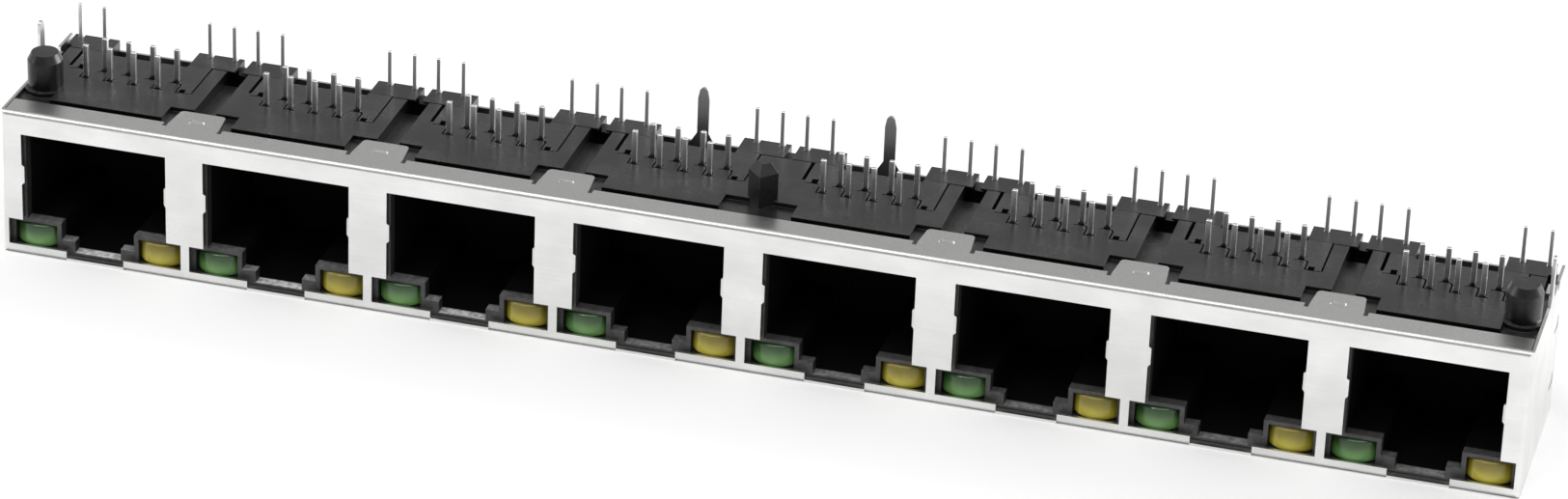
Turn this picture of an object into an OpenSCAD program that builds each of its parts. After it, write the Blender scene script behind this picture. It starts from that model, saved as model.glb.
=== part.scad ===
/* [Row] */
// Number of ports side by side
ports = 8; // [2:2:8]
// Width of the sheet left between two ports' indicator windows
window_land = 0.71; // [0.6:0.01:2]
// Depth of the shielded body, front face to rear face
shell_depth = 15.0; // [14.8:0.1:18]
// Height of the shielded body without its pins
shell_height = 12.55; // [12.45:0.05:13.5]
// From an end port's opening to the outer face of the side wall
end_margin = 1.7; // [1.65:0.05:3]

/* [Sheet metal] */
// Thickness of the plated sheet
sheet = 0.25; // [0.2:0.01:0.28]
// Outside radius of the folded edges
fold_r = 0.4; // [0.3:0.05:0.6]
// Depth of the lip folded over the board side
lip_d = 2.3; // [2:0.05:2.45]
// Length of the tabs that reach back from the lip
tab_l = 2.35; // [1.8:0.05:2.45]
// Width of those tabs
tab_w = 4.2; // [3:0.1:4.6]
// How far the rear cover's top edge lies under the board side
cover_drop = 0.85; // [0.8:0.05:2]
// Width of each ground tail
tail_w = 0.95; // [0.8:0.05:1.4]
// Length of the side walls' ground tails above the body
side_tail_l = 4.0; // [2.5:0.05:5.5]
// Length of the rear cover's ground tails above the body
rear_tail_l = 3.9; // [2.5:0.05:5.5]

/* [Port opening] */
// Width of the plug opening in the sheet
opening_w = 12.13; // [11.9:0.01:12.4]
// Height of the sheet above the opening, up to the board side
top_land = 1.9; // [1.85:0.05:2.2]
// How far each indicator window reaches out past the plug opening
window_reach = 1.2; // [1.1:0.05:1.3]
// Height of the windows' lower edge
window_low = 0.83; // [0.8:0.01:1.0]
// Height of the windows' upper edge
window_high = 3.07; // [3:0.01:3.2]
// Width of the latch notch under the opening
latch_w = 4.82; // [4.4:0.02:5.2]
// Reach of the small ears in the opening's sides
ear_reach = 0.19; // [0.12:0.01:0.3]
// How far the ears lie under the opening's top edge
ear_drop = 2.7; // [2.2:0.05:3.2]

/* [Moulding] */
// Gap between the moulding and the sheet round it
fit = 0.05; // [0.03:0.01:0.06]
// How far the moulded deck stands proud of the lip
deck_rise = 0.08; // [0.05:0.01:0.12]
// Depth of the plug cavity from the front face
cavity_d = 11; // [10.5:0.1:11]
// Thickness of the deck behind the plug cavity
deck_back = 1.5; // [1.2:0.05:1.8]
// Set-back of the moulding's front inside the opening
front_set = 0.7; // [0.6:0.05:0.9]
// Depth of the moulded front rim behind its set-back face
rim_d = 1.0; // [0.8:0.1:1.4]
// Height of the steps beside the latch floor
step_top = 1.45; // [1.2:0.05:1.6]
// Thickness of the walls round each indicator
led_wall = 0.42; // [0.36:0.02:0.5]
// Diameter of the two round locating pegs
peg_dia = 2.84; // [2.6:0.02:3.2]
// Length of the pegs above the deck
peg_l = 2.92; // [2.5:0.02:4]
// Distance from an end port's centre out to the peg
peg_out = 6.02; // [5.6:0.01:6.1]
// Distance from the front face back to the pegs
peg_y = 5.3; // [4.5:0.05:5.5]
// Side of the square centre post
post_side = 1.7; // [1.4:0.05:2]
// Length of the centre post above the deck
post_l = 3.2; // [2.5:0.05:4]

/* [Contact carrier] */
// Distance between neighbouring contacts
contact_pitch = 1.016; // [1:0.002:1.03]
// Width of the carrier
carrier_w = 10.7; // [10.5:0.05:10.7]
// Front row of contact pins, from the front face
front_row_y = 7.85; // [7.6:0.05:8]
// Spacing of the two rows of contact pins
row_gap = 1.62; // [1.5:0.02:1.9]
// Height of the contact tips above the deck
contact_rise = 2.75; // [2.5:0.05:3.6]
// Width of a contact wire
contact_w = 0.42; // [0.36:0.01:0.46]
// Thickness of a contact wire
contact_t = 0.36; // [0.3:0.01:0.4]

/* [Indicators] */
// Width of an indicator's lens
led_w = 3.43; // [3.2:0.01:3.5]
// Height of an indicator's lens
led_h = 1.94; // [1.8:0.02:2]
// How far the lens front bulges
led_bulge = 0.85; // [0.5:0.05:0.9]
// Radius of the lens front's upper and lower rims
led_round = 0.3; // [0.1:0.05:0.6]
// Length of the indicator behind its lens front
led_l = 3.8; // [3:0.1:4.5]
// Thickness of the square indicator leads
lead_t = 0.32; // [0.28:0.01:0.45]
// Spacing of an indicator's two leads
lead_gap = 2.09; // [1.9:0.01:2.2]
// Height of the lead tips above the deck
lead_rise = 3.0; // [2.5:0.05:5]
// Distance from the upright leads to the moulding's rear face
lead_in = 0.25; // [0.23:0.01:0.6]

/* [Hidden] */
ALL_PORTS = [for (k = [1:ports]) k];

$fn = 32;
// Overshoot of a cutting shape past the face that it cuts
cut = 1;

// Overall form
pitch = opening_w + 2 * window_reach + window_land;
shell_w = (ports - 1) * pitch + opening_w + 2 * end_margin;
deck_z = shell_height + deck_rise;
inner_w = shell_w - 2 * sheet;
mould_w = inner_w - 2 * fit;
mould_low = sheet + fit;
mould_front = sheet + fit;
mould_rear = shell_depth - sheet - fit;
lip_seat_z = shell_height - sheet - fit;
opening_top = shell_height - top_land;
cover_top = shell_height - cover_drop;

// Plug opening
opening_half = opening_w / 2;
window_half = opening_half + window_reach;
latch_half = latch_w / 2;
ear_high = opening_top - ear_drop;
ear_h = 1.75;
ear_low = ear_high - ear_h;
ear_taper = 0.18;
ear_bend = 0.1;

// Lip tabs and the pockets that they lie in
tab_round = 0.4;
tab_end = lip_d + tab_l;
relief_w = 0.35;
relief_d = 0.6;
dimple_l = 1.3;
dimple_w = 0.62;
dimple_depth = 0.14;
dimple_y = lip_d + 0.67;
seam = 0.08;
pocket_half = tab_w / 2 + 0.8;
pocket_end = tab_end + 0.25;
trench_end = lip_d + 0.55;
trench_depth = 1.2;

// Ground tails
tail_flare_w = tail_w + 0.95;
tail_flare_h = 0.8;
tail_taper = 0.95;
tail_nose = 0.36;
side_tail_y = 8.5;
side_notch_y = 11.9;
side_notch_w = 0.7;
side_notch_h = 0.6;

// Hooks folded inward from the side walls, and the moulding's room round them
hook_y = 10.7;
hook_l = 1.6;
hook_in = 0.45;
hook_gap = 0.25;
hook_room = 1.4;
hook_room_d = 1.1;

// Rear cover
cover_gap = 0.02;
flange_l = 3.2;
flange_low = 1.2;
flange_high = cover_top - 0.5;
flange_in = inner_w / 2 - cover_gap - sheet;
catch_w = 1.5;
catch_h = 0.8;
catch_gap = 0.1;
catch_y = shell_depth - 1.9;
catch_heights = [3.4, 8.4];

// Plug cavity in the moulding
cavity_half = opening_half - 0.12;
ceiling_z = opening_top - 0.1;
floor_z = mould_low + 0.2;
floor_half = latch_half - 0.48;
rim_end = front_set + rim_d;

// Indicator lamps
led_gap = 0.04;
led_x = window_half - 0.35 - led_w / 2;
led_low = 0.6;
led_high = led_low + led_h;
led_side_y = 1.25;
led_rear = led_side_y + led_l;
lens_end = led_side_y + 0.9;
led_box_half = led_x - led_w / 2 - led_wall;
led_box_top = led_high + 0.36;
led_body_h = led_h - 0.4;
lead_x = led_x + 0.37;
lead_z = led_low + led_body_h / 2;
lead_slot = lead_t + 0.14;
lead_y = mould_rear - lead_in;

// Deck between the ports
channel_half = 0.92;
channel_depth = 1.1;
block_y = cavity_d + deck_back;
block_rear = shell_depth - 0.12;
block_in = 3.42;
slit_half = 0.33;
slit_depth = 0.7;
tunnel_roof = 0.2;
tunnel_d = 0.9;
pit_l = 0.45;
pit_depth = 1.9;
groove = 0.15;

// Contact carrier
carrier_half = carrier_w / 2;
carrier_gap = 0.02;
carrier_positions = 10;
contact_count = 8;
rear_row_y = front_row_y + row_gap;
tooth_front = front_row_y - 0.3;
tooth_back = rear_row_y - 0.45;
tooth_left = 0.39;
tooth_right = 0.45;
tooth_round = 0.25;
tooth_lap = 0.05;
parting = 0.13;
side_slot = 0.3;
side_slot_y = tooth_back + 0.25;
edge_slot = 0.15;
deck_rear = block_y - 0.05;
deck_cut_y = block_y - 0.45;
tongue_z = ceiling_z + carrier_gap;
tongue_top = tongue_z + 1;
tongue_front = 4.3;
carrier_y = cavity_d + carrier_gap;
carrier_foot = 2.45;
carrier_low = floor_z + carrier_foot;
pocket_front = tongue_front - 1;
pocket_top = tongue_top + carrier_gap;
pocket_x = carrier_half + 0.08;
pin_hole = contact_w + 0.1;
pin_hole_d = 0.8;
comb_d = 0.7;
comb_low = 6.4;

// Contact wires
bend_r = 0.45;
run_z = tongue_top - 0.4;
spring_slope = 17;
spring_end_gap = 0.15;
spring_l = (carrier_y + comb_d - spring_end_gap - tongue_front) / cos(spring_slope);

// Pegs and centre post
peg_r = peg_dia / 2;
peg_chamfer = 0.34;
peg_chamfer_h = 0.65;
peg_collar = 0.28;
peg_collar_h = deck_z - lip_seat_z - 0.03;
peg_tip = deck_z + peg_l;
post_y = 5.15;
post_tip = deck_z + post_l;
post_chamfer = 0.42;
post_chamfer_h = 0.85;

function port_x(k) = (k - (ports + 1) / 2) * pitch;
function gap_x(g) = (g - ports / 2) * pitch;
function position_x(i) = (i - (contact_count - 1) / 2) * contact_pitch;
function is_front(i) = i % 2 == 0;

// Moves a shape from the front face's frame to the row's own frame
module place() {
    translate([0, -shell_depth / 2, 0]) children();
}

// Block between two opposite corners
module box(low, high) {
    translate(low) cube(high - low);
}

// Block that is symmetric about a value of x
module slab(x, half, y0, y1, z0, z1) {
    box([x - half, y0, z0], [x + half, y1, z1]);
}

// Extrudes a y-z outline along x, centred on x
module across(width) {
    rotate([90, 0, 90]) linear_extrude(width, center = true) children();
}

// Extrudes an x-z outline back from y
module backwards(y, depth) {
    translate([0, y + depth, 0]) rotate([90, 0, 0]) linear_extrude(depth) children();
}

// Outline of a strip of sheet with its two front corners rounded
module folded_outline(y_len, z_len, r) {
    translate([r, 0]) square([y_len - r, z_len]);
    translate([0, r]) square([r, z_len - 2 * r]);
    translate([r, r]) circle(r);
    translate([r, z_len - r]) circle(r);
}

// Solid block of the shield's outside, rounded at every folded edge of the front
module shell_block() {
    intersection() {
        across(shell_w) folded_outline(shell_depth, shell_height, fold_r);
        translate([-shell_w / 2, 0, 0])
            mirror([1, -1, 0]) linear_extrude(shell_height)
            folded_outline(shell_depth, shell_w, fold_r);
    }
}

// Opening in the front sheet: plug, two indicator windows and latch notch
module opening_outline() {
    polygon([
        [-window_half, window_low], [-latch_half, window_low],
        [-latch_half, sheet], [latch_half, sheet],
        [latch_half, window_low], [window_half, window_low],
        [window_half, window_high], [opening_half, window_high],
        [opening_half, opening_top], [-opening_half, opening_top],
        [-opening_half, window_high], [-window_half, window_high]
    ]);
}

// Ear on one side of the opening, bent inward
module ear() {
    intersection() {
        linear_extrude(opening_top) polygon([
            [-sheet, 0], [0, 0], [ear_reach, ear_bend], [ear_reach, ear_bend + sheet], [-sheet, sheet]
        ]);
        backwards(-cut, 2 * cut) polygon([
            [-sheet, ear_low - ear_taper], [0, ear_low], [ear_reach, ear_low + ear_taper],
            [ear_reach, ear_high - ear_taper], [0, ear_high], [-sheet, ear_high + ear_taper]
        ]);
    }
}

// Tab on the lip, in plan, from the lip's rear edge
module tab_outline() {
    half = tab_w / 2;
    top = half - 0.2;
    polygon([
        [-half, lip_d - 0.05], [half, lip_d - 0.05],
        [top, tab_end - tab_round], [-top, tab_end - tab_round]
    ]);
    translate([-top + tab_round, tab_end - 2 * tab_round])
        square([2 * (top - tab_round), 2 * tab_round]);
    for (side = [-1, 1])
        translate([side * (top - tab_round), tab_end - tab_round]) circle(tab_round);
}

// Punched dimple that stiffens a tab
module dimple() {
    reach = (dimple_l - dimple_w) / 2;
    translate([0, dimple_y, shell_height - dimple_depth]) linear_extrude(cut) {
        square([2 * reach, dimple_w], center = true);
        for (side = [-1, 1]) translate([side * reach, 0]) circle(dimple_w / 2);
    }
}

// Blade with a flared root and a tapered, round tip, from its root up, in its own plane
module tail_outline(root, tip) {
    half = tail_w / 2;
    polygon([
        [-tail_flare_w / 2, root - sheet], [tail_flare_w / 2, root - sheet],
        [tail_flare_w / 2, root], [half, root + tail_flare_h],
        [-half, root + tail_flare_h], [-tail_flare_w / 2, root]
    ]);
    translate([-half, root]) square([tail_w, tip - tail_taper - root]);
    polygon([
        [-half, tip - tail_taper], [half, tip - tail_taper],
        [tail_nose, tip - tail_nose], [-tail_nose, tip - tail_nose]
    ]);
    translate([0, tip - tail_nose]) circle(tail_nose);
}

// Front shield: face, resting face, side walls, lip and tabs folded from one sheet
module front_shield() {
    color("gainsboro") place() for (k = ALL_PORTS) translate([port_x(k), 0, 0]) {
        slab(0, latch_half, 0, 2 * fold_r, 0, sheet);
        for (side = [-1, 1])
            translate([side * opening_half, 0, 0]) mirror([(side + 1) / 2, 0, 0]) ear();
    }
    color("gainsboro") place() difference() {
        union() {
            difference() {
                shell_block();
                slab(0, inner_w / 2, sheet, shell_depth + cut, sheet, shell_height - sheet);
                slab(0, inner_w / 2, lip_d, shell_depth + cut, sheet, shell_height + cut);
            }
            for (g = [1:ports - 1]) if (g != ports / 2)
                translate([gap_x(g), 0, shell_height - sheet]) linear_extrude(sheet) tab_outline();
            for (side = [-1, 1])
                translate([side * (shell_w - sheet) / 2, side_tail_y, 0])
                across(sheet) tail_outline(shell_height, shell_height + side_tail_l);
            for (side = [-1, 1])
                slab(side * (inner_w - hook_in) / 2, hook_in / 2 + fit, hook_y - hook_l / 2,
                    hook_y + hook_l / 2, shell_height - sheet, shell_height);
        }
        for (k = ALL_PORTS)
            translate([port_x(k), 0, 0]) backwards(-cut, cut + 2 * sheet) opening_outline();
        for (g = [1:ports - 1]) if (g != ports / 2) {
            translate([gap_x(g), 0, 0]) dimple();
            for (side = [-1, 1])
                slab(gap_x(g) + side * (tab_w + relief_w) / 2, relief_w / 2,
                    lip_d - relief_d, lip_d + cut, shell_height - 2 * sheet, shell_height + cut);
        }
        for (side = [-1, 1]) {
            slab(side * (inner_w - seam) / 2, seam / 2,
                fold_r, lip_d + cut, shell_height - 2 * sheet, shell_height + cut);
            slab(side * shell_w / 2, 2 * sheet, side_notch_y - side_notch_w / 2,
                side_notch_y + side_notch_w / 2, shell_height - side_notch_h, shell_height + cut);
            for (z = catch_heights)
                slab(side * shell_w / 2, 2 * sheet, catch_y - catch_w / 2 - catch_gap,
                    catch_y + catch_w / 2 + catch_gap, z - catch_h / 2 - catch_gap,
                    z + catch_h / 2 + catch_gap);
        }
    }
}

// Rear shield: rear wall with two ground tails and a catch flange down each end
module rear_shield() {
    wall_half = inner_w / 2 - cover_gap;
    color("silver") place() {
        slab(0, wall_half, shell_depth - sheet, shell_depth, sheet + cover_gap, cover_top);
        for (k = [ports / 2, ports / 2 + 1])
            translate([port_x(k), 0, 0])
            backwards(shell_depth - sheet, sheet) tail_outline(cover_top, shell_height + rear_tail_l);
        for (side = [-1, 1]) {
            slab(side * (flange_in + sheet / 2), sheet / 2,
                shell_depth - flange_l, shell_depth, flange_low, flange_high);
            for (z = catch_heights)
                slab(side * (flange_in + sheet), sheet - cover_gap, catch_y - catch_w / 2,
                    catch_y + catch_w / 2, z - catch_h / 2, z + catch_h / 2);
        }
    }
}

// Fillet in a corner of that plan, which rounds the moulding's tooth beside it
module tooth_fillet(x, y, side) {
    translate([x, y]) mirror([(1 - side) / 2, 0]) difference() {
        translate([-tooth_lap, -tooth_round]) square(tooth_round + tooth_lap);
        translate([tooth_round, -tooth_round]) circle(tooth_round);
    }
}

// Plan of the carrier's deck: five teeth face forward, one between each pair of front pins.
// slack opens the outline on its left and front sides, for the gap round the carrier.
module deck_outline(slack, left, right) {
    front_positions = [for (j = [0:carrier_positions / 2 - 1]) position_x(2 * j)];
    last = len(front_positions) - 1;
    teeth = [for (j = [0:last]) each [
        [front_positions[j] - tooth_left - slack, tooth_back - slack],
        [front_positions[j] - tooth_left - slack, tooth_front - slack],
        [j == last ? right : front_positions[j] + tooth_right, tooth_front - slack],
        [j == last ? right : front_positions[j] + tooth_right, j == last ? deck_rear : tooth_back - slack]
    ]];
    polygon(concat([[left, deck_rear], [left, tooth_back - slack]], teeth));
    for (j = [0:last - 1]) {
        tooth_fillet(front_positions[j] + tooth_right, tooth_back - slack, 1);
        tooth_fillet(front_positions[j + 1] - tooth_left - slack, tooth_back - slack, -1);
    }
}

// Plug cavity, with the latch floor, the steps and the set-back front rim
module plug_cavity() {
    slab(0, cavity_half, mould_front - cut, cavity_d, led_box_top, ceiling_z);
    slab(0, led_box_half, mould_front - cut, cavity_d, step_top, led_box_top + cut);
    slab(0, floor_half, mould_front - cut, cavity_d, floor_z, led_box_top + cut);
    slab(0, led_box_half, rim_end, cavity_d, floor_z, led_box_top + cut);
    slab(0, window_half + fit, mould_front - cut, front_set, mould_low - cut, window_high + fit);
    slab(0, opening_half + fit, mould_front - cut, front_set, mould_low - cut, opening_top + fit);
}

// Pockets for the two indicators and the slots that their leads lie in
module indicator_pockets() {
    for (side = [-1, 1]) {
        slab(side * led_x, led_w / 2 + led_gap, mould_front - cut, led_rear + led_gap,
            led_low - led_gap, led_high + led_gap);
        for (step = [-1, 1]) {
            x = side * lead_x + step * lead_gap / 2;
            slab(x, lead_slot / 2, led_rear - cut, mould_rear + cut, -cut, lead_z + lead_slot / 2);
            slab(x, lead_slot / 2, lead_y - lead_slot / 2, mould_rear + cut, 0, deck_z + cut);
        }
    }
}

// Space that the contact carrier slides into from the rear
module carrier_pocket() {
    slab(0, pocket_x, pocket_front, mould_rear + cut, ceiling_z, pocket_top);
    slab(0, pocket_x, cavity_d, mould_rear + cut, carrier_low - carrier_gap, pocket_top);
    slab(0, block_in, deck_rear - carrier_gap, shell_depth + cut, tongue_z, deck_z + cut);
    translate([0, 0, tongue_z]) linear_extrude(deck_z)
        deck_outline(parting, -carrier_half, carrier_half);
    box([-carrier_half - side_slot, side_slot_y, tongue_z], [-carrier_half, block_y, deck_z + cut]);
    box([carrier_half, tooth_front, tongue_z], [carrier_half + edge_slot, block_y, deck_z + cut]);
    slab(0, carrier_half + edge_slot, deck_rear - cut, block_y, tongue_z, deck_z + cut);
}

// Pocket in the deck that holds a lip tab, a peg or the centre post
module deck_pocket(x0, x1) {
    box([x0, mould_front - cut, lip_seat_z], [x1, pocket_end, deck_z + cut]);
}

// Locating peg at one end, with a chamfered tip and a collar that stops short of the side wall
module peg(side) {
    x = side * (port_x(ports) + peg_out);
    translate([x, peg_y, lip_seat_z - sheet])
        cylinder(r = peg_r, h = peg_tip - peg_chamfer_h - lip_seat_z + sheet);
    translate([x, peg_y, peg_tip - peg_chamfer_h])
        cylinder(r1 = peg_r, r2 = peg_r - peg_chamfer, h = peg_chamfer_h);
    intersection() {
        translate([x, peg_y, lip_seat_z - sheet]) cylinder(r = peg_r + peg_collar, h = peg_collar_h + sheet);
        slab(0, mould_w / 2, mould_front, mould_rear, mould_low, deck_z);
    }
}

// One direction of the centre post: its side view, extruded across the post
module post_blade() {
    half = post_side / 2;
    top = half - post_chamfer;
    rotate([90, 0, 0]) linear_extrude(post_side, center = true) polygon([
        [-half, lip_seat_z - sheet], [half, lip_seat_z - sheet], [half, post_tip - post_chamfer_h],
        [top, post_tip], [-top, post_tip], [-half, post_tip - post_chamfer_h]
    ]);
}

// Centre post, turned so that a corner faces forward
module centre_post() {
    translate([0, post_y, 0]) rotate([0, 0, 45]) intersection() {
        post_blade();
        rotate([0, 0, 90]) post_blade();
    }
}

// Housing: one moulding for the whole row
module housing() {
    end_pocket = port_x(ports) + pitch / 2 - pocket_half;
    color("dimgray") place() {
        difference() {
            union() {
                slab(0, mould_w / 2, mould_front, mould_rear, mould_low, deck_z);
                slab(0, mould_w / 2, block_y, block_rear, cover_top + fit, deck_z);
            }
            slab(0, mould_w / 2 + cut, mould_front - cut, lip_d + 2 * fit, lip_seat_z, deck_z + cut);
            for (k = ALL_PORTS) translate([port_x(k), 0, 0]) {
                slab(0, pitch / 2 - pocket_half, lip_d - 2 * sheet, trench_end,
                    deck_z - trench_depth, deck_z + cut);
                slab(0, pitch / 2 - pocket_half, mould_front, trench_end, lip_seat_z, deck_z + cut);
                plug_cavity();
                indicator_pockets();
                carrier_pocket();
                for (side = [-1, 1])
                    slab(side * (block_in + pitch / 2) / 2, (pitch / 2 - block_in) / 2,
                        block_y - groove, block_y, deck_z - groove, deck_z + cut);
            }
            for (g = [1:ports - 1]) {
                deck_pocket(gap_x(g) - pocket_half, gap_x(g) + pocket_half);
                slab(gap_x(g), slit_half, block_y, shell_depth + cut, deck_z - slit_depth, deck_z + cut);
                if (g != ports / 2) {
                    slab(gap_x(g), channel_half, pocket_end - cut, block_y,
                        deck_z - channel_depth, deck_z + cut);
                    slab(gap_x(g), channel_half, block_y - pit_l, block_y + tunnel_d,
                        deck_z - pit_depth, deck_z - tunnel_roof);
                }
            }
            deck_pocket(-mould_w / 2 - cut, -end_pocket);
            deck_pocket(end_pocket, mould_w / 2 + cut);
            for (side = [-1, 1]) {
                slab(side * (flange_in - fit + cut), cut, shell_depth - flange_l - fit,
                    shell_depth, mould_low - cut, deck_z + cut);
                slab(side * mould_w / 2, hook_in + hook_gap, hook_y - hook_l / 2 - hook_room,
                    hook_y + hook_l / 2 + hook_room, deck_z - hook_room_d, deck_z + cut);
            }
        }
        for (side = [-1, 1]) peg(side);
        centre_post();
    }
}

// Contact carrier: tongue under the deck, toothed deck and the comb at the cavity's end
module carrier(k) {
    color("darkslategray") place() translate([port_x(k), 0, 0]) difference() {
        union() {
            slab(0, carrier_half, tongue_front, deck_rear, tongue_z, tongue_top);
            slab(0, carrier_half, carrier_y, deck_rear, carrier_low, tongue_top);
            translate([0, 0, tongue_top]) linear_extrude(deck_z - tongue_top)
                deck_outline(0, -carrier_half, carrier_half);
        }
        slab(0, block_in, deck_cut_y, deck_rear + cut, tongue_top, deck_z + cut);
        for (i = [-1:carrier_positions - 2]) {
            x = position_x(i);
            y = is_front(i) ? front_row_y : rear_row_y;
            slab(x, pin_hole / 2, y + pin_hole / 2 - pin_hole_d, y + pin_hole / 2,
                run_z - pin_hole / 2, deck_z + cut);
            slab(x, pin_hole / 2, tongue_front - cut, y + pin_hole / 2,
                run_z - pin_hole / 2, tongue_top);
            slab(x, pin_hole / 2, carrier_y - cut, carrier_y + comb_d, comb_low, tongue_z - sheet);
        }
    }
}

// Side view of one contact: upright pin, run forward, round bend and sloping spring
module contact_outline(tail_y) {
    half = contact_t / 2;
    low = run_z - 2 * bend_r;
    translate([tail_y - half, run_z]) square([contact_t, deck_z + contact_rise - run_z]);
    translate([tail_y, run_z]) circle(half);
    translate([tongue_front, run_z - half]) square([tail_y - tongue_front, contact_t]);
    translate([tongue_front, run_z - bend_r]) intersection() {
        difference() {
            circle(bend_r + half);
            circle(bend_r - half);
        }
        translate([-2 * bend_r, -2 * bend_r]) square([2 * bend_r, 4 * bend_r]);
    }
    translate([tongue_front, low]) {
        circle(half);
        rotate(-spring_slope) translate([0, -half]) square([spring_l - half, contact_t]);
        rotate(-spring_slope) translate([spring_l - half, 0]) circle(half);
    }
}

// The eight contacts of one port, in two staggered rows of pins
module contacts(k) {
    color("goldenrod") place() translate([port_x(k), 0, 0])
        for (i = [0:contact_count - 1])
            translate([position_x(i), 0, 0]) across(contact_w)
            contact_outline(is_front(i) ? front_row_y : rear_row_y);
}

// Half section of the round drum that the lens front is a slice of, with rounded rims
module lens_outline(r) {
    square([r - led_round, led_h]);
    translate([0, led_round]) square([r, led_h - 2 * led_round]);
    for (z = [led_round, led_h - led_round]) translate([r - led_round, z]) circle(led_round);
}

// Indicator: rectangular body whose lens front bulges between its two sides
module led(k, side) {
    r = (pow(led_w / 2, 2) + pow(led_bulge, 2)) / (2 * led_bulge);
    front = led_side_y - led_bulge;
    place() translate([port_x(k) + side * led_x, 0, led_low]) {
        intersection() {
            translate([0, front + r, 0]) rotate_extrude($fn = 64) lens_outline(r);
            slab(0, led_w / 2, front - cut, lens_end, 0, led_h);
        }
        slab(0, led_w / 2, lens_end, led_rear, 0, led_body_h);
    }
}

// The two bent leads of an indicator
module leads(k, side) {
    half = lead_t / 2;
    color("lightgray") place() for (step = [-1, 1])
        translate([port_x(k) + side * lead_x + step * lead_gap / 2, 0, 0]) across(lead_t) {
            translate([led_rear, lead_z - half]) square([lead_y - led_rear, lead_t]);
            translate([lead_y, lead_z]) circle(half);
            translate([lead_y - half, lead_z]) square([lead_t, deck_z + lead_rise - lead_z]);
        }
}

front_shield();
rear_shield();
housing();
for (k = ALL_PORTS) {
    carrier(k);
    contacts(k);
    color("seagreen") led(k, -1);
    color("gold") led(k, 1);
    leads(k, -1);
    leads(k, 1);
}
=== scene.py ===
import math

import bmesh
import bpy
from mathutils import Matrix, Vector


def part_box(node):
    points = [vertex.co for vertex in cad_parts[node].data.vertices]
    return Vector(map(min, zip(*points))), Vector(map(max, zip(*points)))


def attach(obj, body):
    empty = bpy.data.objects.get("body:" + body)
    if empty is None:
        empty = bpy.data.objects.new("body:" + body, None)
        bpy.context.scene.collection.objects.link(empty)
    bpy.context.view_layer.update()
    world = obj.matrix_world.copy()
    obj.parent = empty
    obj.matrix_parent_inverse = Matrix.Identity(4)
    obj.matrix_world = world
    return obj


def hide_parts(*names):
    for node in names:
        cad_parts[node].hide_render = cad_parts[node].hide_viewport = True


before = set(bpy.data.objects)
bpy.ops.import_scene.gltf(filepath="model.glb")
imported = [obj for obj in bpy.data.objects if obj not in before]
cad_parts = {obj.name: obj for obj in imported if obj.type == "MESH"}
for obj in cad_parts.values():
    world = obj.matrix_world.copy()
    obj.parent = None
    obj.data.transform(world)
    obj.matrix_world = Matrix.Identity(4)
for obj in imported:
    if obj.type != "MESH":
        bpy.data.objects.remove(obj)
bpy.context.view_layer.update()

MM = 0.001
PORTS = range(1, 9)

# Faces and levels that the materials follow, from the frame, in metres
shield_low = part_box("front_shield")[0]
carrier_low, carrier_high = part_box("carrier_1")
last_carrier_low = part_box("carrier_8")[0]
lamp_low, lamp_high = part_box("green_led_1")
FRONT_Y = shield_low.y
DECK_Z = carrier_high.z
LAMP_FOOT = lamp_low.z
# Middle of the first port, spacing of the ports, and a lamp's inner face from the middle of its port
PORT_X = (carrier_low.x + carrier_high.x) / 2
PITCH = (last_carrier_low.x - carrier_low.x) / (len(PORTS) - 1)
LAMP_IN = abs(PORT_X - lamp_high.x)

# Camera at the photograph's place: 390.66 mm in front of the openings' face
CAMERA_PLACE = Vector((0.10379, FRONT_Y - 0.39066, 0.22062))
CAMERA_RIGHT = Vector((0.96302, 0.26707, 0.03561))
CAMERA_DOWN = Vector((0.15364, -0.43574, -0.88686))
SENSOR_WIDTH = 36.0
FOCAL_PIXELS = 6147.8
PHOTO_WIDTH = 1625


def make_camera():
    """Camera with the photograph's place, direction and field of view."""
    data = bpy.data.cameras.new("camera")
    data.sensor_fit = "HORIZONTAL"
    data.sensor_width = SENSOR_WIDTH
    data.lens = FOCAL_PIXELS / PHOTO_WIDTH * SENSOR_WIDTH
    data.clip_start = 0.01
    camera = bpy.data.objects.new("camera", data)
    bpy.context.scene.collection.objects.link(camera)
    right = CAMERA_RIGHT.normalized()
    back = right.cross(-CAMERA_DOWN).normalized()
    up = back.cross(right)
    turn = Matrix((right, up, back)).transposed().to_4x4()
    camera.matrix_world = Matrix.Translation(CAMERA_PLACE) @ turn
    bpy.context.scene.camera = camera


# Studio
FLOOR_HALF = 3.0
FLOOR_COLOUR = (0.93, 0.93, 0.93, 1)
WORLD_COLOUR = (0.45, 0.45, 0.45, 1)
# Name, place, aim, width and height in metres, and power in watts of each soft light
SOFTBOXES = [
    ("overhead", (0.0, -0.30, 0.85), (0, 0, 0), (1.1, 0.8), 4.9),
    ("left_side", (-0.7, -0.15, 0.45), (0, 0, 0), (0.5, 0.5), 2.0),
    ("right_side", (0.65, 0.45, 0.30), (0.08, 0.05, 0), (0.5, 0.4), 3.8),
    ("sparkle", (-0.29, -0.40, 0.76), (0, 0, 0), (0.05, 0.05), 0.6),
    ("rear_card", (0.50, 1.10, 0.62), (0.03, 0, 0), (1.0, 0.9), 1.0),
]


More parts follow.
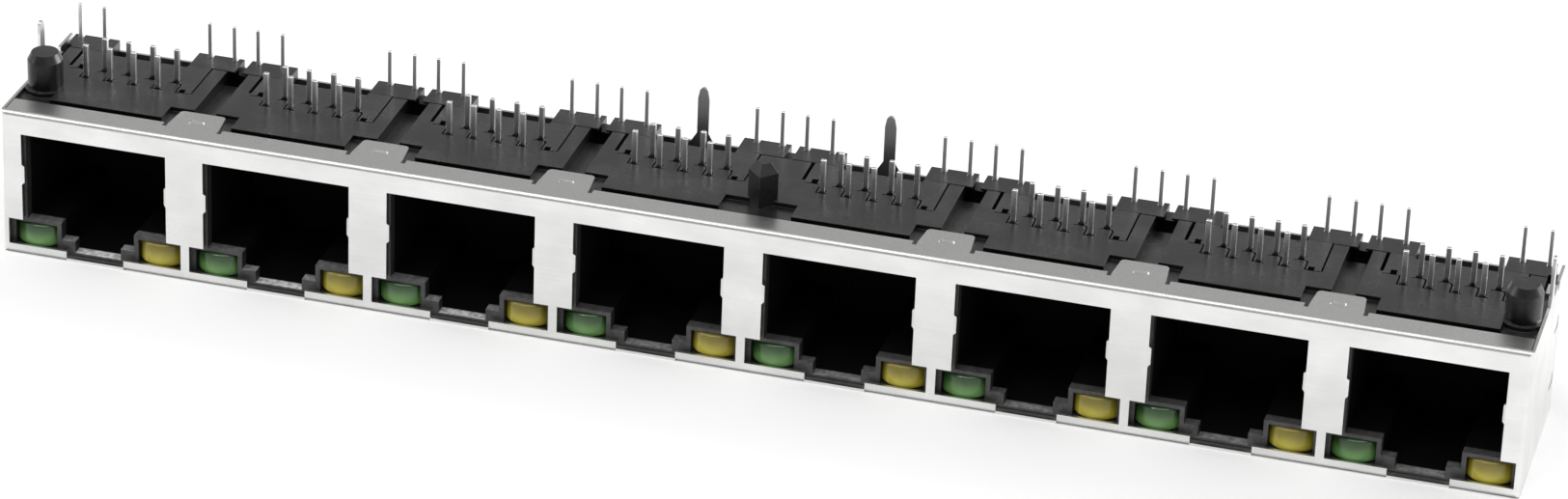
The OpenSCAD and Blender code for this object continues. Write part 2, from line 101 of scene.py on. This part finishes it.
def make_floor():
    """Plain pale floor under the resting face."""
    corners = [(x * FLOOR_HALF, y * FLOOR_HALF, 0) for x, y in ((-1, -1), (1, -1), (1, 1), (-1, 1))]
    mesh = bpy.data.meshes.new("floor")
    mesh.from_pydata(corners, [], [(0, 1, 2, 3)])
    floor = bpy.data.objects.new("floor", mesh)
    bpy.context.scene.collection.objects.link(floor)
    material = bpy.data.materials.new("floor_paper")
    material.use_nodes = True
    shader = material.node_tree.nodes["Principled BSDF"]
    shader.inputs["Base Color"].default_value = FLOOR_COLOUR
    shader.inputs["Roughness"].default_value = 0.9
    shader.inputs["Specular IOR Level"].default_value = 0.2
    mesh.materials.append(material)


def make_softbox(name, place, aim, size, power):
    """Rectangular soft light that points from place to aim."""
    data = bpy.data.lights.new(name, "AREA")
    data.shape = "RECTANGLE"
    data.size, data.size_y = size
    data.energy = power
    light = bpy.data.objects.new(name, data)
    light.visible_camera = False
    bpy.context.scene.collection.objects.link(light)
    light.location = place
    direction = Vector(aim) - Vector(place)
    light.rotation_euler = direction.to_track_quat("-Z", "Y").to_euler()


def make_studio():
    """Grey surroundings with a large soft light above the front and weaker lights round the part."""
    world = bpy.data.worlds.new("studio")
    bpy.context.scene.world = world
    world.use_nodes = True
    background = world.node_tree.nodes["Background"]
    background.inputs["Color"].default_value = WORLD_COLOUR
    background.inputs["Strength"].default_value = 1.0
    for softbox in SOFTBOXES:
        make_softbox(*softbox)
    bpy.context.scene.view_settings.view_transform = "Standard"


# Node helpers
def start_material(name, metallic, roughness):
    """New material; metallic and roughness hold wherever the material links nothing to them."""
    material = bpy.data.materials.new(name)
    material.use_nodes = True
    shader = material.node_tree.nodes["Principled BSDF"]
    shader.inputs["Metallic"].default_value = metallic
    shader.inputs["Roughness"].default_value = roughness
    return material, material.node_tree, shader


def feed(tree, node, inputs):
    """Sets each named or numbered input of a node, from a socket or as a value."""
    for key, value in inputs.items():
        if isinstance(value, bpy.types.NodeSocket):
            tree.links.new(value, node.inputs[key])
        else:
            node.inputs[key].default_value = value


def add_node(tree, kind, inputs=None, **values):
    """New node with its properties and inputs set."""
    made = tree.nodes.new("ShaderNode" + kind)
    for key, value in values.items():
        setattr(made, key, value)
    feed(tree, made, inputs or {})
    return made


def place_of(tree):
    """Position on the part in the row frame, in metres."""
    return add_node(tree, "TexCoord").outputs["Object"]


def noise(tree, scale, detail=3.0):
    """Noise from 0 to 1 over the part; scale has its features per metre along X, Y and Z."""
    place = add_node(tree, "Mapping", {"Vector": place_of(tree), "Scale": scale}).outputs["Vector"]
    inputs = {"Vector": place, "Scale": 1.0, "Detail": detail, "Roughness": 0.55}
    return add_node(tree, "TexNoise", inputs).outputs["Fac"]


def ramp(tree, source, low, high, out_low=0.0, out_high=1.0):
    """Source taken smoothly from the span low to high onto the span out_low to out_high."""
    inputs = {"Value": source, "From Min": low, "From Max": high, "To Min": out_low, "To Max": out_high}
    return add_node(tree, "MapRange", inputs, interpolation_type="SMOOTHSTEP").outputs["Result"]


def spread(tree, source, out_low=0.0, out_high=1.0):
    """Noise taken from where most of it lies onto the span out_low to out_high."""
    return ramp(tree, source, 0.3, 0.7, out_low, out_high)


def maths(tree, operation, first, second=0.0):
    """One arithmetic step."""
    return add_node(tree, "Math", {0: first, 1: second}, operation=operation).outputs["Value"]


def plus(tree, first, second):
    """Sum of two values."""
    return maths(tree, "ADD", first, second)


def minus(tree, first, second):
    """First value less the second."""
    return maths(tree, "SUBTRACT", first, second)


def times(tree, first, second):
    """Product of two values."""
    return maths(tree, "MULTIPLY", first, second)


def unsigned(tree, value):
    """Value without its sign."""
    return maths(tree, "ABSOLUTE", value)


def blend_colours(tree, factor, first, second):
    """First colour where factor is 0, second where it is 1."""
    mix = add_node(tree, "Mix", data_type="RGBA")
    feed(tree, mix, {0: factor, 6: first, 7: second})
    return mix.outputs[2]


def grey(value):
    """Neutral colour."""
    return (value, value, value, 1)


def tin_grey(value):
    """Grey of tin plate, which is a trace warmer than neutral."""
    return (value, value, value - 0.01, 1)


def relief(tree, height, depth, strength, rounding=0.0):
    """Surface direction with bumps of the given height in metres, and edges rounded in the shading."""
    inputs = {"Height": height, "Strength": strength, "Distance": depth}
    if rounding:
        inputs["Normal"] = add_node(tree, "Bevel", {"Radius": rounding}, samples=4).outputs["Normal"]
    return add_node(tree, "Bump", inputs).outputs["Normal"]


def facing(tree, axis):
    """How much the surface faces along an axis of the part, from -1 to 1."""
    normal = add_node(tree, "NewGeometry").outputs["Normal"]
    return add_node(tree, "SeparateXYZ", {0: normal}).outputs[axis]


def facing_up(tree):
    """1 on faces towards the board side and 0 on the others."""
    return ramp(tree, facing(tree, "Z"), 0.7, 0.95)


def facing_forward(tree):
    """1 on faces towards the plugs and 0 on the others."""
    return ramp(tree, facing(tree, "Y"), -0.95, -0.6, 1.0, 0.0)


def along(tree, axis):
    """Position along one axis of the row frame, in metres."""
    return add_node(tree, "SeparateXYZ", {0: place_of(tree)}).outputs[axis]


def off_centre(tree):
    """Distance sideways from the middle of the nearest port, in metres."""
    turns = maths(tree, "DIVIDE", minus(tree, along(tree, "X"), PORT_X - PITCH / 2), PITCH)
    part = minus(tree, maths(tree, "FRACT", turns), 0.5)
    return times(tree, unsigned(tree, part), PITCH)


# Plated sheet: scales in features per metre
ROLLED_GRAIN = (250, 9000, 9000)
PLATING_CLOUDS = (180, 260, 260)
PLATING_PITS = (9500, 9500, 9500)
# Dull and bright grey, and roughness of the dull and the bright places
SHEET_GREYS = (0.72, 0.82)
# Upward faces: pitted and spotty, and also painted darker as shade to give the lip its tone
SPOT_AND_SHADE_GREYS = (0.59, 0.75)
# Folds: darker greys, a painted shade that dims the bend's highlight
FOLD_SHADE_GREYS = (0.42, 0.60)
SHEET_ROUGHNESS = (0.36, 0.26)
CREASE_ROUGHNESS = 0.05
GRAIN_SHARE = 0.22
SPOT_SHARE = 0.8
# A fold's faces turn both forward and up: the product of the two turns where a fold starts and is full
FOLD_TURNS = (0.08, 0.4)
# Relief, and the shares of it that the grain, the pits and the further pits of the folds have
SHEET_RELIEF = 0.005 * MM
GRAIN_HEIGHT = 0.6
PIT_HEIGHT = 0.3
CREASE_HEIGHT = 0.2


def tinned(tree, factor, greys):
    """Colour of tin plate between a dull and a bright grey."""
    dull, bright = greys
    return blend_colours(tree, factor, tin_grey(dull), tin_grey(bright))


def plated_sheet():
    """Bright tinned sheet: rolled grain along the row, cloudy plating, a spotty lip painted darker as
    shade, and folds painted darker to dim their highlight.
    """
    material, tree, shader = start_material("plated_sheet", 1.0, 0.3)
    grain = noise(tree, ROLLED_GRAIN, 4.0)
    clouds = noise(tree, PLATING_CLOUDS)
    pits = noise(tree, PLATING_PITS, 2.0)
    pitted = spread(tree, pits)
    fold = times(tree, unsigned(tree, facing(tree, "Y")), unsigned(tree, facing(tree, "Z")))
    bent = ramp(tree, fold, *FOLD_TURNS)
    shade = plus(tree, times(tree, grain, GRAIN_SHARE), times(tree, clouds, 1 - GRAIN_SHARE))

    flat = tinned(tree, spread(tree, shade), SHEET_GREYS)
    spots_and_shade = tinned(tree, pitted, SPOT_AND_SHADE_GREYS)
    # Upward faces take the spotty pitted greys, which also darken the lip as painted shade
    colour = blend_colours(tree, times(tree, facing_up(tree), SPOT_SHARE), flat, spots_and_shade)
    # Folds painted darker, a painted shade that dims their highlight
    colour = blend_colours(tree, bent, colour, tinned(tree, pitted, FOLD_SHADE_GREYS))
    tree.links.new(colour, shader.inputs["Base Color"])

    smooth = ramp(tree, shade, 0.25, 0.75, *SHEET_ROUGHNESS)
    tree.links.new(plus(tree, smooth, times(tree, bent, CREASE_ROUGHNESS)), shader.inputs["Roughness"])
    rough = times(tree, pits, plus(tree, times(tree, bent, CREASE_HEIGHT), PIT_HEIGHT))
    height = plus(tree, times(tree, grain, GRAIN_HEIGHT), rough)
    tree.links.new(relief(tree, height, SHEET_RELIEF, 0.9), shader.inputs["Normal"])
    return material


# Black mouldings: scales in features per metre
MOULD_TEXTURE = (9000, 9000, 9000)
MOULD_FLOW = (160, 240, 240)
MOULD_MOTTLE = (2600, 2600, 2600)
MOULD_RELIEF = 0.005 * MM
MOTTLE_HEIGHT = 1.5
MOULD_EDGE = 0.08 * MM
BLACK = 0.003
MOTTLE_GREY = 0.010
# Grey of lighter blotches on upward faces: haze, and painted sheen on the tops
HAZE_AND_SHEEN_GREY = 0.035
DUST_GREY = 0.30
# Roughness of the deck from its dull to its bright places, and what the inside and the rims add to it
DECK_ROUGHNESS = (0.34, 0.26)
INSIDE_ROUGHNESS = 0.5
RIM_ROUGHNESS = 0.3
# Metallic shares, which take the white gloss off the inside and off the front walls of the deck: painted
# shade where these lie in shadow
INSIDE_METAL = 0.86
WALL_METAL = 0.6
# Levels between which the deck gives way to the openings
OPENING_TOP = (10.4 * MM, 11.0 * MM)
# Depths behind the front face between which the rims' painted light gives way to the inside's painted
# black shade
RIM_END = (1.55 * MM, 1.75 * MM)
# Painted light on the rims: on floors it is this length divided by the height above the resting face, so
# the latch floors are palest
RIM_LIGHT_LENGTH = 0.30 * MM
# Painted light on the rims' forward faces, and the least painted light that every rim face gets
RIM_LIGHT_FRONT = 0.022
RIM_LIGHT_LEAST = 0.012
# Floors of the lamps' pockets, which get no painted light and stay dark as painted shade: their top level
# and their wall inside the lamp
POCKET_TOP = 1.2 * MM
POCKET_WALL = 0.5 * MM
# The floors' painted light fades along the row between these places, in ports from the first, down to this
# share
FADE_PORTS = (1.6, 3.0)
FADE_LEAST = 0.3


def painted_rim_light(tree, mottle):
    """Painted light on the openings' rims: grey on fronts and floors, palest on the lowest floors, fading
    along the row, none on the pocket floors.
    """
    pocket = times(
        tree,
        maths(tree, "GREATER_THAN", off_centre(tree), LAMP_IN - POCKET_WALL),
        maths(tree, "LESS_THAN", along(tree, "Z"), POCKET_TOP),
    )
    floors = times(tree, maths(tree, "DIVIDE", RIM_LIGHT_LENGTH, along(tree, "Z")), facing_up(tree))
    floors = times(tree, floors, minus(tree, 1.0, pocket))
    fade_start, fade_end = (PORT_X + ports * PITCH for ports in FADE_PORTS)
    floors = times(tree, floors, ramp(tree, along(tree, "X"), fade_start, fade_end, 1.0, FADE_LEAST))
    rim_lit = plus(tree, floors, times(tree, facing_forward(tree), RIM_LIGHT_FRONT))
    return times(tree, plus(tree, rim_lit, RIM_LIGHT_LEAST), spread(tree, mottle, 0.6, 1.4))


def moulded_black(name, pale):
    """Black moulded plastic: satin deck with haze that is also painted sheen on upward faces, and dust;
    matt rims with painted light; inside painted black as shade.
    """
    material, tree, shader = start_material(name, 0.0, 0.42)
    shader.inputs["Specular IOR Level"].default_value = 0.75
    flow = noise(tree, MOULD_FLOW)
    mottle = noise(tree, MOULD_MOTTLE)
    specks = noise(tree, MOULD_TEXTURE, 0.0)
    upward = facing_up(tree)
    # Openings: a rim near the front face with painted light, and an inside painted black as shade
    opening = ramp(tree, along(tree, "Z"), *OPENING_TOP, 1.0, 0.0)
    rim_start, rim_end = (FRONT_Y + depth for depth in RIM_END)
    rim = times(tree, opening, ramp(tree, along(tree, "Y"), rim_start, rim_end, 1.0, 0.0))
    inside = minus(tree, opening, rim)

    mottled = ramp(tree, mottle, 0.25, 0.75)
    colour = blend_colours(tree, mottled, grey(BLACK + pale), grey(MOTTLE_GREY + 2 * pale))
    # Lighter blotches on upward faces only: haze and painted sheen
    haze = times(tree, times(tree, ramp(tree, flow, 0.42, 0.68), mottle), upward)
    colour = blend_colours(tree, haze, colour, grey(HAZE_AND_SHEEN_GREY))
    dust = times(tree, ramp(tree, specks, 0.84, 0.87), upward)
    colour = blend_colours(tree, dust, colour, grey(DUST_GREY))
    # Rims take painted light where light falls into the openings
    colour = blend_colours(tree, rim, colour, painted_rim_light(tree, mottle))
    # The inside is painted black as shade, where little light reaches
    colour = blend_colours(tree, inside, colour, grey(BLACK))
    tree.links.new(colour, shader.inputs["Base Color"])

    matt = plus(tree, times(tree, inside, INSIDE_ROUGHNESS), times(tree, rim, RIM_ROUGHNESS))
    tree.links.new(plus(tree, spread(tree, flow, *DECK_ROUGHNESS), matt), shader.inputs["Roughness"])
    # The deck's front walls lose their gloss as painted shade, where the trench and the blocks shade them
    walls = times(tree, facing_forward(tree), minus(tree, 1.0, opening))
    metal = plus(tree, times(tree, inside, INSIDE_METAL), times(tree, walls, WALL_METAL))
    tree.links.new(metal, shader.inputs["Metallic"])
    skin = plus(tree, noise(tree, MOULD_TEXTURE), times(tree, mottle, MOTTLE_HEIGHT))
    tree.links.new(relief(tree, skin, MOULD_RELIEF, 0.6, MOULD_EDGE), shader.inputs["Normal"])
    return material


# Wires: grain drawn up the wire, in features per metre
WIRE_GRAIN = (7000, 7000, 500)
WIRE_RELIEF = 0.006 * MM
# Grey and roughness of the faces to front and rear, and how far the streaks vary each of them
LEAD_GREY = 0.70
LEAD_ROUGHNESS = 0.42
CONTACT_GREY = 0.46
CONTACT_ROUGHNESS = 0.30
STREAK_SHARE = 0.25
STREAK_ROUGHNESS = 0.07
# Painted highlight on the wires' sides and cut ends
TIN_SIDE_HIGHLIGHT = tin_grey(0.93)
GOLD_DEEP = (0.52, 0.35, 0.11, 1)
GOLD_PALE = (0.78, 0.55, 0.19, 1)
# Depths under the deck's top between which the contacts' tin gives way to gold
GOLD_TOP = (1.2 * MM, 0.8 * MM)


def tin_colour(tree, shade):
    """Colour of drawn tin: streaked grey on the faces to front and rear, a painted highlight on the sides
    and the cut ends.
    """
    streaks = spread(tree, noise(tree, WIRE_GRAIN))
    dull = blend_colours(tree, streaks, grey(shade * (1 - STREAK_SHARE)), grey(shade * (1 + STREAK_SHARE)))
    flat = ramp(tree, unsigned(tree, facing(tree, "Y")), 0.75, 0.98)
    return blend_colours(tree, flat, TIN_SIDE_HIGHLIGHT, dull)


def finish_wire(tree, shader, roughness):
    """Gloss and relief of drawn wire."""
    streaks = noise(tree, WIRE_GRAIN)
    gloss = spread(tree, streaks, roughness + STREAK_ROUGHNESS, roughness - STREAK_ROUGHNESS)
    tree.links.new(gloss, shader.inputs["Roughness"])
    tree.links.new(relief(tree, streaks, WIRE_RELIEF, 0.6), shader.inputs["Normal"])


def tinned_wire():
    """Tinned wire of the lamps' leads: drawn grain, streaked faces to front and rear, a painted highlight
    on the sides and cut ends.
    """
    material, tree, shader = start_material("tinned_wire", 1.0, 0.3)
    tree.links.new(tin_colour(tree, LEAD_GREY), shader.inputs["Base Color"])
    finish_wire(tree, shader, LEAD_ROUGHNESS)
    return material


def contact_wire():
    """Contact wire: tinned above the deck, gold plated along the springs inside."""
    material, tree, shader = start_material("contact_wire", 1.0, 0.3)
    streaks = spread(tree, noise(tree, WIRE_GRAIN))
    gold = blend_colours(tree, streaks, GOLD_DEEP, GOLD_PALE)
    gold_full, gold_end = (DECK_Z - depth for depth in GOLD_TOP)
    plated = ramp(tree, along(tree, "Z"), gold_full, gold_end, 1.0, 0.0)
    colour = blend_colours(tree, plated, tin_colour(tree, CONTACT_GREY), gold)
    tree.links.new(colour, shader.inputs["Base Color"])
    finish_wire(tree, shader, CONTACT_ROUGHNESS)
    return material


# Lamps: haze in features per metre, and heights above the foot between which the glow fades
LENS_HAZE = (900, 900, 900)
LENS_RELIEF = 0.01 * MM
LENS_SCATTER = 0.8 * MM
GLOW_WANDER = 0.4 * MM
GLOW_FADE = (0.4 * MM, 1.9 * MM)
GREEN_DARK = (0.012, 0.050, 0.008, 1)
GREEN_LIGHT = (0.14, 0.31, 0.085, 1)
YELLOW_DARK = (0.17, 0.135, 0.006, 1)
YELLOW_LIGHT = (0.50, 0.43, 0.04, 1)


def lens(name, dark, light):
    """Tinted lamp body: dark where its top is shaded, lighter where light gathers at its foot."""
    material, tree, shader = start_material(name, 0.0, 0.34)
    haze = noise(tree, LENS_HAZE, 2.0)
    height = plus(tree, along(tree, "Z"), times(tree, haze, GLOW_WANDER))
    fade_start, fade_end = (LAMP_FOOT + rise for rise in GLOW_FADE)
    glow = ramp(tree, height, fade_start, fade_end, 1.0, 0.0)
    tree.links.new(blend_colours(tree, glow, dark, light), shader.inputs["Base Color"])
    shader.inputs["Subsurface Weight"].default_value = 0.2
    shader.inputs["Subsurface Radius"].default_value = (LENS_SCATTER, LENS_SCATTER, LENS_SCATTER)
    shader.inputs["Subsurface Scale"].default_value = 1.0
    shader.inputs["Coat Weight"].default_value = 0.4
    shader.inputs["Coat Roughness"].default_value = 0.05
    tree.links.new(relief(tree, haze, LENS_RELIEF, 0.3), shader.inputs["Normal"])
    return material


# Pieces
WELD = 0.002 * MM
WIRE_EDGE = 0.05 * MM
LENS_EDGE = 0.14 * MM
EDGE_SEGMENTS = 2
FLAT_ANGLE = math.radians(1)
SHARP_ANGLE = math.radians(40)
# Grey that the contact carriers' plastic has above the housing's
CARRIER_PALE = 0.007


def dress(node, material):
    """Gives a CAD node its material."""
    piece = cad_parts[node]
    piece.data.materials.clear()
    piece.data.materials.append(material)


def rounded_mesh(node, name, width):
    """Copy of a CAD node's mesh whose sharp edges are really rounded."""
    mesh = bpy.data.meshes.new(name)
    work = bmesh.new()
    work.from_mesh(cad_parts[node].data)
    bmesh.ops.remove_doubles(work, verts=work.verts, dist=WELD)
    bmesh.ops.dissolve_limit(work, angle_limit=FLAT_ANGLE, verts=work.verts, edges=work.edges)
    sharp = [e for e in work.edges if len(e.link_faces) == 2 and e.calc_face_angle() > SHARP_ANGLE]
    bmesh.ops.bevel(
        work,
        geom=sharp,
        offset=width,
        segments=EDGE_SEGMENTS,
        profile=0.5,
        affect="EDGES",
        clamp_overlap=True,
    )
    work.to_mesh(mesh)
    work.free()
    mesh.shade_smooth()
    mesh.set_sharp_from_angle(angle=SHARP_ANGLE)
    return mesh


def rounded_copy(node, name, width, material):
    """Copy of a CAD node with rounded edges, shown in the node's place."""
    mesh = rounded_mesh(node, name, width)
    mesh.materials.append(material)
    piece = bpy.data.objects.new(name, mesh)
    bpy.context.scene.collection.objects.link(piece)
    weighted = piece.modifiers.new("weighted", "WEIGHTED_NORMAL")
    weighted.keep_sharp = True
    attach(piece, "root")
    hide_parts(node)


make_camera()
make_floor()
make_studio()

sheet_material = plated_sheet()
housing_plastic = moulded_black("moulded_black", 0.0)
carrier_plastic = moulded_black("moulded_insert", CARRIER_PALE)
tin = tinned_wire()
wire = contact_wire()
green = lens("green_lens", GREEN_DARK, GREEN_LIGHT)
yellow = lens("yellow_lens", YELLOW_DARK, YELLOW_LIGHT)

dress("front_shield", sheet_material)
dress("rear_shield", sheet_material)
dress("housing", housing_plastic)
for port in PORTS:
    dress(f"carrier_{port}", carrier_plastic)
    rounded_copy(f"contacts_{port}", f"contact_wires_{port}", WIRE_EDGE, wire)
    rounded_copy(f"green_led_{port}", f"green_lamp_{port}", LENS_EDGE, green)
    rounded_copy(f"yellow_led_{port}", f"yellow_lamp_{port}", LENS_EDGE, yellow)
    rounded_copy(f"green_leads_{port}", f"green_lamp_leads_{port}", WIRE_EDGE, tin)
    rounded_copy(f"yellow_leads_{port}", f"yellow_lamp_leads_{port}", WIRE_EDGE, tin)
